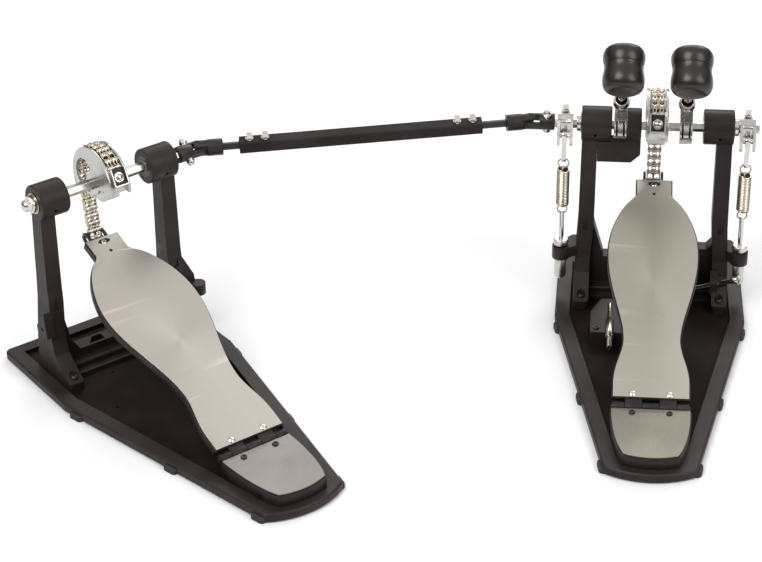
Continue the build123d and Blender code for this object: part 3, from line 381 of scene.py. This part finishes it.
# One brushed steel for both pedals; the slave's board and heel plate copies are painted lighter for the
# light that falls on them.
MAIN_STEEL = brushed_steel("brushed_steel_main", (0.50, 0.458, 0.395), 0.42, ALONG_MAIN, 0.7, 0.2)
SLAVE_STEEL_PAINTED_LIGHTER = brushed_steel("brushed_steel_slave_painted_lighter", (0.545, 0.508, 0.455), 0.42, ALONG_SLAVE, 0.5, 0.5)
HEEL_STEEL = brushed_steel("brushed_steel_heel", (0.235, 0.214, 0.18), 0.40, ALONG_MAIN, 0.9, 0.2)
SLAVE_HEEL_PAINTED_LIGHTER = brushed_steel("brushed_steel_slave_heel_painted_lighter", (0.25, 0.232, 0.212), 0.40, ALONG_SLAVE, 0.8, 0.4)
CHROME = plain_metal("chrome_plate", (0.66, 0.635, 0.60), 0.10, 0.06, 0.35)
CAST_CHROME = plain_metal("cast_chrome", (0.60, 0.575, 0.54), 0.17, 0.10, 0.9)
SATIN = plain_metal("satin_steel", (0.62, 0.60, 0.56), 0.30, 0.15)
BAR_STEEL = machined_steel("drawn_hex_steel", (0.60, 0.58, 0.53), 0.26)
CAM_METAL = plain_metal("cam_aluminium", (0.56, 0.545, 0.52), 0.27, 0.12, 0.2)
CHAIN_PLATE = plain_metal("chain_plate_steel", (0.60, 0.53, 0.43), 0.20, 0.08, 0.0, (0.45, 0.37, 0.27))
CHAIN_ROLLER = plain_metal("chain_roller_steel", (0.74, 0.70, 0.62), 0.16, 0.06)
SPRING_WIRE = plain_metal("spring_wire", (0.60, 0.53, 0.42), 0.24, 0.08, 0.0, (0.46, 0.38, 0.27))
# Bearings in a near-black metal, dark round the axle inside the housings.
BEARING = plain_metal("bearing_near_black", (0.10, 0.09, 0.08), 0.35, 0.1)
BRASS = plain_metal("bearing_shield", (0.62, 0.50, 0.30), 0.25, 0.1)
KEY_METAL = plain_metal("key_plate", (0.70, 0.64, 0.54), 0.2, 0.08)
HEAD = gloss_plastic("gloss_black_plastic", (0.013, 0.0085, 0.0080))
RUBBER = rubber("black_rubber")


# ---- camera, light and floor ---------------------------------------------------------------------
CAMERA_AT = Vector((-0.0691, -2.2001, 1.3117))
CAMERA_DIR = Vector((-0.0844, 0.8563, -0.5096))
CAMERA_ROLL = -0.696
CAMERA_LENS = 113.05


def make_camera():
    data = bpy.data.cameras.new("camera")
    data.lens = CAMERA_LENS
    data.sensor_width = 36.0
    data.clip_end = 50.0
    camera = bpy.data.objects.new("camera", data)
    bpy.context.scene.collection.objects.link(camera)
    aimed = CAMERA_DIR.to_track_quat("-Z", "Y")
    camera.rotation_mode = "QUATERNION"
    camera.rotation_quaternion = aimed @ Matrix.Rotation(radians(CAMERA_ROLL), 3, "Z").to_quaternion()
    camera.location = CAMERA_AT
    bpy.context.scene.camera = camera


def area_light(name, place, target, size, watts, colour=(1, 1, 1)):
    data = bpy.data.lights.new(name, "AREA")
    data.shape = "RECTANGLE"
    data.size, data.size_y = size
    data.energy = watts
    data.color = colour
    light = bpy.data.objects.new(name, data)
    bpy.context.scene.collection.objects.link(light)
    light.location = place
    light.rotation_mode = "QUATERNION"
    light.rotation_quaternion = (Vector(target) - Vector(place)).to_track_quat("-Z", "Y")


def make_stage():
    mesh = bpy.data.meshes.new("studio_floor")
    far = 6.0
    mesh.from_pydata([(-far, -far, 0), (far, -far, 0), (far, far, 0), (-far, far, 0)], [], [(0, 1, 2, 3)])
    mesh.materials.append(floor_look())
    floor = bpy.data.objects.new("studio_floor", mesh)
    bpy.context.scene.collection.objects.link(floor)
    world = bpy.data.worlds.new("studio")
    world.use_nodes = True
    sky = world.node_tree
    direction = sky.nodes.new("ShaderNodeTexCoord").outputs["Generated"]
    height = sky.nodes.new("ShaderNodeSeparateXYZ")
    sky.links.new(direction, height.inputs[0])
    glow = sky.nodes.new("ShaderNodeMapRange")
    glow.interpolation_type = "SMOOTHSTEP"
    for socket, value in (("From Min", 0.1), ("From Max", 0.9), ("To Min", 0.14), ("To Max", 0.92)):
        glow.inputs[socket].default_value = value
    sky.links.new(height.outputs["Z"], glow.inputs["Value"])
    sky.links.new(glow.outputs["Result"], sky.nodes["Background"].inputs["Strength"])
    sky.nodes["Background"].inputs["Color"].default_value = (1, 1, 1, 1)
    bpy.context.scene.world = world
    bpy.context.scene.view_settings.view_transform = "Standard"
    centre = (CAD_LO + CAD_HI) / 2
    area_light("key", (-1.2, -1.4, 2.2), centre, (1.4, 1.4), 38)
    area_light("fill", (1.6, -1.2, 1.6), centre, (1.2, 1.6), 20)
    area_light("back", (0.2, 2.0, 1.6), centre, (2.4, 0.8), 26)


make_camera()
make_stage()

# ---- CAD nodes that keep their shape -------------------------------------------------------------
FINISH = {
    BLACK: ["main_left_post", "main_right_post", "slave_left_post", "slave_right_post", "main_bridge",
            "slave_bridge", "inner_bracket", "heel_frames", "main_footboard_frame", "slave_footboard_frame",
            "clamp_base", "key_holder", "main_base", "slave_base"],
    RUBBER: ["mats_and_feet"],
    MAIN_STEEL: ["main_footboard"],
    SLAVE_STEEL_PAINTED_LIGHTER: ["slave_footboard"],
    HEEL_STEEL: ["main_heel_plate"],
    SLAVE_HEEL_PAINTED_LIGHTER: ["slave_heel_plate"],
    BAR_STEEL: ["main_axle", "left_axle", "slave_axle"],
    SATIN: ["spring_nuts"],
    CAM_METAL: ["main_cam", "slave_cam"],
    CHAIN_PLATE: ["main_chain_run", "main_chain_wrap", "slave_chain_run", "slave_chain_wrap"],
    BEARING: ["bearings"],
    SPRING_WIRE: ["right_spring", "left_spring"],
    HEAD: ["right_beater_head", "left_beater_head"],
    CHROME: ["spring_rods", "right_spring_link", "left_spring_link", "clamp_bolt", "drive_bolts",
             "main_chain_anchor", "slave_chain_anchor", "right_beater_shaft", "left_beater_shaft"],
    CAST_CHROME: ["right_rocker", "left_rocker", "right_beater_hub", "left_beater_hub"],
    TUBE: ["drive_tube"],
    BLACK_STEEL: ["drive_rods", "drive_yokes", "left_axle_yoke", "slave_axle_yoke",
                  "main_cross", "slave_cross", "hinge_pins", "base_screws", "main_toe_clamp",
                  "slave_toe_clamp", "clamp_jaw"],
    KEY_METAL: ["drum_key"],
}
EDGE = {"main_footboard": 0.3, "slave_footboard": 0.3, "main_heel_plate": 0.3, "slave_heel_plate": 0.3,
        "main_base": 0.8, "slave_base": 0.8, "bearings": 0.2, "mats_and_feet": 0.3}

for look, nodes in FINISH.items():
    for node in nodes:
        obj = NODES[node]
        obj.data.materials.clear()
        obj.data.materials.append(look)
        soften(obj, EDGE.get(node, 0.5), weld=True)

# Faces of the pan recess in each base take the darker black: painted shade.
PAN_FROM, PAN_BELOW = 0.0053, 0.008  # a face of the pan has its lowest point between these, metres
for node in ("main_base", "slave_base"):
    mesh = NODES[node].data
    mesh.materials.append(SHADE_BLACK)
    for face in mesh.polygons:
        heights = [mesh.vertices[i].co.z for i in face.vertices]
        if PAN_FROM < min(heights) < PAN_BELOW:
            face.material_index = 1

# ---- chains --------------------------------------------------------------------------------------
PITCH = 8.0
CHAIN_R = 35.6
CHAIN_X = middle("main_chain_run", MAIN).x
TOE_PIN = Vector((0, 23.5, -74.7))
CHAIN_END = 137.0
PLATE_R, PLATE_WAIST, PLATE_T = 3.2, 2.2, 1.1
PLATE_ROWS = {0: (-6.4, -0.6, 0.6, 6.4), 1: (-5.1, -1.9, 1.9, 5.1)}
ROLLER_X, ROLLER_W, ROLLER_D = 3.5, 2.2, 4.8
PIN_D, PIN_L = 2.4, 14.8


def polar(r, deg):
    """Point round an axle, degrees from the drum's side towards the top."""
    return Vector((0, r * cos(radians(deg)), r * sin(radians(deg))))


def chain_path():
    """Pins of a chain: straight up from the toe to the cam, then round it."""
    far = hypot(TOE_PIN.y, TOE_PIN.z)
    leave = degrees(atan2(TOE_PIN.z, TOE_PIN.y) + acos(CHAIN_R / far))
    straight = (far**2 - CHAIN_R**2) ** 0.5
    start = polar(CHAIN_R, leave)
    arc = radians(CHAIN_END - leave) * CHAIN_R
    pins = []
    for i in range(int((straight + arc) / PITCH) + 1):
        s = i * PITCH
        if s < straight:
            pins.append(TOE_PIN.lerp(start, s / straight))
        else:
            pins.append(polar(CHAIN_R, leave + degrees((s - straight) / CHAIN_R)))
    return pins


def link_plate():
    """Outline of a chain's side plate, its pins at 0 and PITCH."""
    arc = [radians(a) for a in range(45, 316, 30)]
    near = [(PLATE_R * cos(a), PLATE_R * sin(a)) for a in arc]
    far = [(PITCH - u, -v) for u, v in near]
    return near + [(PITCH / 2, -PLATE_WAIST)] + far + [(PITCH / 2, PLATE_WAIST)]


def chain(name, place):
    pins = chain_path()
    solids = []
    for i, (a, b) in enumerate(zip(pins, pins[1:])):
        along = b - a
        turn = Matrix.Rotation(atan2(along.z, along.y), 4, "X")
        spot = Matrix.Translation(a + Vector((CHAIN_X, 0, 0))) @ turn
        for x in PLATE_ROWS[i % 2]:
            plate = prism(link_plate(), x - PLATE_T / 2, x + PLATE_T / 2)
            solids.append((0, moved(plate, spot)))
    roller = lathe([(-ROLLER_W / 2, ROLLER_D / 2), (ROLLER_W / 2, ROLLER_D / 2)], 16)
    rod = lathe([(-PIN_L / 2, PIN_D / 2 - 0.3), (-PIN_L / 2 + 0.3, PIN_D / 2), (PIN_L / 2 - 0.3, PIN_D / 2),
                 (PIN_L / 2, PIN_D / 2 - 0.3)], 12)
    for p in pins:
        for x in (-ROLLER_X, ROLLER_X):
            solids.append((1, moved(roller, shift(CHAIN_X + x, p.y, p.z))))
        solids.append((1, moved(rod, shift(CHAIN_X, p.y, p.z))))
    obj = piece(f"{name}_duplex_chain", solids, place, [CHAIN_PLATE, CHAIN_ROLLER],
                replaces=[f"{name}_chain_run", f"{name}_chain_wrap"], bevel=0.2)
    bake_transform(obj)


for pedal, place in PEDALS.items():
    chain(pedal, place)

# ---- springs -------------------------------------------------------------------------------------
COIL_R, WIRE_R = 5.95, 0.85
COIL_LOW, COIL_HIGH = -86.0, -45.0
TURNS = 23
SPRING_Y = -17.0
TOP_LOOP, LOW_LOOP = (-38.4, 5.4), (-91.8, 4.9)


def spring_loop(x, middle_z, r, way):
    """Points of an end loop, from the coil's side round."""
    angles = [radians(d) for d in range(0, 331, 15)]
    return [Vector((x + r * sin(a), SPRING_Y, middle_z - way * r * cos(a))) for a in angles]


def coil(side):
    """Close-wound tension spring with a full loop at each end and a dark disc in each end as painted shade
    inside the coil.
    """
    x = middle(f"{side}_spring", MAIN).x
    steps = 18
    wound = []
    for i in range(TURNS * steps + 1):
        a = tau * i / steps
        z = COIL_LOW + (COIL_HIGH - COIL_LOW) * (i / (TURNS * steps))
        wound.append(Vector((x + COIL_R * sin(a), SPRING_Y - COIL_R * cos(a), z)))
    ends = []
    for z, way, rise, (loop_z, loop_r) in ((COIL_HIGH, 1, 1.3, TOP_LOOP), (COIL_LOW, -1, 1.2, LOW_LOOP)):
        bend = [Vector((x - 1.0, SPRING_Y - COIL_R * 0.7, z + way * 0.7))]
        bend.append(Vector((x - 1.2, SPRING_Y - 2, z + way * rise)))
        ends.append(bend + spring_loop(x, loop_z, loop_r, way))
    top, low = ends
    solids = [(0, sweep(low[::-1] + wound + top, WIRE_R, 8))]
    # Dark discs just inside the coil's ends: painted shade.
    shade_disc = lathe([(-1, COIL_R - 1.0), (1, COIL_R - 1.0)], 16)
    for z in (COIL_LOW + 1.5, COIL_HIGH - 1.5):
        solids.append((1, moved(shade_disc, shift(x, SPRING_Y, z) @ turned(90, "Y"))))
    obj = piece(f"{side}_coil_spring", solids, MAIN, [SPRING_WIRE, SHADE_BLACK],
                replaces=[f"{side}_spring"])
    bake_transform(obj)


# ---- beaters -------------------------------------------------------------------------------------
LEAN = turned(44.0, "X")
SHAFT_Y = 18.0
SHAFT_R = 4.0
SHAFT_SPAN = (-32.0, 97.0)
HEAD_MID = 109.0
HEAD_PROFILE = [(-23.3, 13.6), (-22.9, 15.4), (-21.6, 17.6), (-19.4, 19.4), (-16.0, 20.6), (-12, 21.0),
                (-7, 20.6), (-3, 19.8), (0.5, 19.2), (4.3, 19.6), (4.6, 19.2), (5.2, 19.2), (5.5, 19.8),
                (9, 20.7), (13, 21.0), (16.5, 20.5), (19.6, 19.2), (21.8, 17.2), (22.9, 15.2), (23.3, 13.6)]
CAP_RISE = 0.3
FERRULE = [(0, 4.1), (0, 6.2), (0.6, 6.9), (4.0, 6.9), (4.0, 4.1)]
FERRULE_DROP = 22.6
UP = turned(-90, "Y")  # a lathed solid's axis from X to Z
TO_DRUM = turned(90, "Z")  # and from X to Y


def beater(side):
    """Barrel head with a parting groove and slightly crowned ends, its shaft and its ferrule."""
    frame_ = MAIN @ shift(BEATER_X[side]) @ LEAN
    near, far = HEAD_PROFILE[0][0], HEAD_PROFILE[-1][0]
    crown = [(near - CAP_RISE, 5.0), (near - 0.6 * CAP_RISE, 10.0)]
    crown_far = [(far + 0.6 * CAP_RISE, 10.0), (far + CAP_RISE, 5.0)]
    shell = lathe(crown + HEAD_PROFILE + crown_far, 64)
    piece(f"{side}_head_shell", [(0, moved(shell, shift(0, SHAFT_Y, HEAD_MID) @ TO_DRUM))], frame_, [HEAD],
          f"{side}_beater", [f"{side}_beater_head"])
    low, high = SHAFT_SPAN
    rod = lathe([(low, SHAFT_R - 0.5), (low + 0.5, SHAFT_R), (high, SHAFT_R)], 28)
    on_shaft = shift(0, SHAFT_Y) @ UP
    piece(f"{side}_shaft_rod", [(0, moved(rod, on_shaft))], frame_, [CHROME], f"{side}_beater",
          [f"{side}_beater_shaft"])
    seat = HEAD_MID - FERRULE_DROP
    ring = lathe([(seat + rise, r) for rise, r in FERRULE], 32, True)
    piece(f"{side}_head_ferrule", [(0, moved(ring, on_shaft))], frame_, [BLACK_STEEL],
          f"{side}_beater")
    hub(side, frame_)


HUB_HALF = 6.5
HUB_BODY = [(-16.3, -3), (-16.3, 6.5), (-1, 6.5), (-1, 13.0), (10, 14.5), (23.0, 14.5), (24.5, 13.0),
            (24.5, -2), (20, -6), (8, -12), (-8, -13), (-12, -8)]
HUB_FIN = [(-16.3, 6), (-16.3, 8.0), (-15.3, 9.4), (-8, 12.5), (-1, 13.2), (-1, 6)]
FIN_SPANS = ((-6.5, -4.4), (-2.7, 2.7), (4.4, 6.5))
CUP = [(13.5, 6.5), (14.0, 8.2), (15.5, 8.7), (17.0, 8.3), (18.2, 7.4), (19.5, 7.2), (20.6, 7.7),
       (23.4, 7.7), (24.3, 7.2), (24.5, 6.6), (24.3, 6.0), (23.0, 5.5), (13.5, 5.5)]
# Dark ring round the shaft in the cup's mouth: painted shade in the gap.
SOCKET_SHADE = [(16.0, 4.1), (16.0, 5.6), (22.6, 5.6), (22.6, 4.1)]


def hub(side, frame_):
    """Cast clamp on the axle: slotted block behind, ribbed cup round the shaft, square key screw; a dark
    ring in the cup's mouth and dark slot floors are painted shade.
    """
    on_shaft = shift(0, SHAFT_Y) @ UP
    solids = [
        (0, prism(HUB_BODY, -HUB_HALF, HUB_HALF)),
        (0, moved(lathe(CUP, 40, True), on_shaft)),
        (1, moved(lathe(SOCKET_SHADE, 32, True), on_shaft)),
        (0, block(-HUB_HALF, HUB_HALF, -18.0, -16.2, -4.5, 8.6)),
        # Dark plate on the floor of the slots between the fins: painted shade.
        (1, block(-5.0, 5.0, -15.8, -1.2, 6.2, 6.9)),
    ]
    solids += [(0, prism(HUB_FIN, x0, x1)) for x0, x1 in FIN_SPANS]
    screw = shift(0, 0, 8) @ TO_DRUM
    solids.append((0, moved(lathe([(24.0, 4.3), (26.0, 4.3), (26.6, 3.6)], 28), screw)))
    solids.append((0, block(-2.7, 2.7, 26.0, 31.4, 5.3, 10.7)))
    body = "main_axle" if side == "right" else "left_axle"
    piece(f"{side}_hub_casting", solids, frame_, [CAST_CHROME, SHADE_BLACK], body,
          [f"{side}_beater_hub"], 0.6)


BEATER_X = {side: middle(f"{side}_beater_hub", MAIN).x for side in ("left", "right")}
for side in BEATER_X:
    coil(side)
    beater(side)

# ---- chain anchors -------------------------------------------------------------------------------
ANCHOR_TURN = 152.0
FLANGE_R = 37.5


def anchor(name, place):
    """Clip box that ends the chain on the cam, with a washer-head screw in a dark field."""
    front = FLANGE_R + 4.5
    x0, x1 = CHAIN_X - 8.2, CHAIN_X + 8.2
    spot = turned(ANCHOR_TURN, "X")
    solids = [
        (0, block(x0, x0 + 1.5, front - 9, front, -9, 9)),
        (0, block(x1 - 1.5, x1, front - 9, front, -9, 9)),
        (0, block(x0, x1, front - 9, front, 7.5, 9)),
        (1, block(x0 + 1, x1 - 1, front - 6, front - 3.2, -9, 8)),
        (2, moved(lathe([(front - 3.4, 5.3), (front - 2.4, 5.3), (front - 2.0, 4.9), (front - 1.9, 3.6),
                         (front - 0.9, 3.2), (front - 0.3, 1.8), (front - 0.1, 0.6)], 32),
                  shift(CHAIN_X, 0, 0) @ turned(90, "Z"))),
    ]
    piece(f"{name}_chain_clip", [(n, moved(solid, spot)) for n, solid in solids], place,
          [SATIN, BLACK_STEEL, CHROME], f"{name}_axle", [f"{name}_chain_anchor"], 0.4)


for pedal, place in PEDALS.items():
    anchor(pedal, place)

# ---- collars on the axles, rivets and toe screws -------------------------------------------------
HOUSING_END = 77.5
COLLAR = [(0.3, 7.0), (0.3, 8.2), (0.9, 8.9), (4.2, 8.9), (4.8, 8.2), (4.8, 7.0)]
GOLD_RING = [(0.15, 9.0), (0.15, 10.6), (0.9, 10.6), (0.9, 9.0)]
NUT_FLATS = 12.5
BOARD_SLOPE, BOARD_TOP, TOE_SCREW_AT = 20.97, 7.0, 281.0
TOE_SCREW = [(0.0, 3.0), (0.7, 2.9), (1.2, 2.2), (1.3, 0.6)]
DOME = [(0.0, 3.4), (0.5, 3.3), (1.1, 2.5), (1.5, 1.2), (1.6, 0.4)]
YOKE_DOME = [(-4.0, 4.2), (-0.6, 4.2), (0.0, 4.6), (1.4, 4.6), (1.8, 3.9), (3.0, 3.6), (4.6, 2.4),
             (5.0, 0.8)]
NUT_CAP = [(9.3, 5.6), (11.0, 5.2), (12.4, 3.8), (13.0, 1.6), (13.1, 0.5)]


def collar(name, place, side, body, nut=False):
    """Spacer between a housing and what sits outside it, with the bearing's rim behind it."""
    spot = shift(side * HOUSING_END) @ (Matrix.Identity(4) if side > 0 else turned(180, "Z"))
    ring = lathe(COLLAR, 32)
    solids = [(0, moved(ring, spot)), (1, moved(lathe(GOLD_RING, 40, True), spot))]
    if nut:
        solids.append((0, moved(prism(hexagon(NUT_FLATS), 4.5, 9.5), spot)))
        solids.append((0, moved(lathe(NUT_CAP, 28), spot)))
    piece(name, solids, place, [CHROME, BRASS], body, bevel=0.3)


collar("right_spacer", MAIN, 1, "main_axle")
collar("left_spacer", MAIN, -1, "left_axle")
collar("slave_end_nut", SLAVE, -1, "slave_axle", nut=True)


def yoke_bolts(name, place, body, x, reach, lean):
    """Two dome bolts opposite each other that clamp a yoke on its axle."""
    spots = [shift(x) @ turned(lean + half, "X") @ shift(0, 0, reach) @ UP for half in (0, 180)]
    solids = [(0, moved(lathe(YOKE_DOME, 28), spot)) for spot in spots]
    piece(name, solids, place, [CHROME], body)


yoke_bolts("slave_yoke_bolts", SLAVE, "slave_axle", 97.5, 9.5, -40)
yoke_bolts("main_yoke_bolts", MAIN, "left_axle", -113.0, 10.5, 20)


def board_trim(name, place):
    """Two domed rivets near the hinge and a cross-head screw in the toe's recess, its cross painted dark as
    shade.
    """
    board = JOINTS[f"{name}_board_hinge"]
    hinge = place.inverted() @ Vector(board["pos_m"])
    on_board = shift(0, hinge.y, hinge.z) @ turned(BOARD_SLOPE, "X")
    dome = lathe(DOME, 28)
    solids = [(0, moved(dome, on_board @ shift(x, 11.5, BOARD_TOP) @ UP)) for x in (-18, 18)]
    toe = on_board @ shift(0, TOE_SCREW_AT, BOARD_TOP - 1.6)
    solids.append((0, moved(lathe(TOE_SCREW, 28), toe @ UP)))
    # The screw's cross is two dark bars on its head: painted shade in the recess.
    slot = block(-1.7, 1.7, -0.35, 0.35, 0.9, 1.45)
    solids += [(1, moved(slot, toe @ turned(a, "Z"))) for a in (45, -45)]
    piece(f"{name}_board_rivets", solids, place, [CHROME, SHADE_BLACK], f"{name}_board")


for pedal, place in PEDALS.items():
    board_trim(pedal, place)
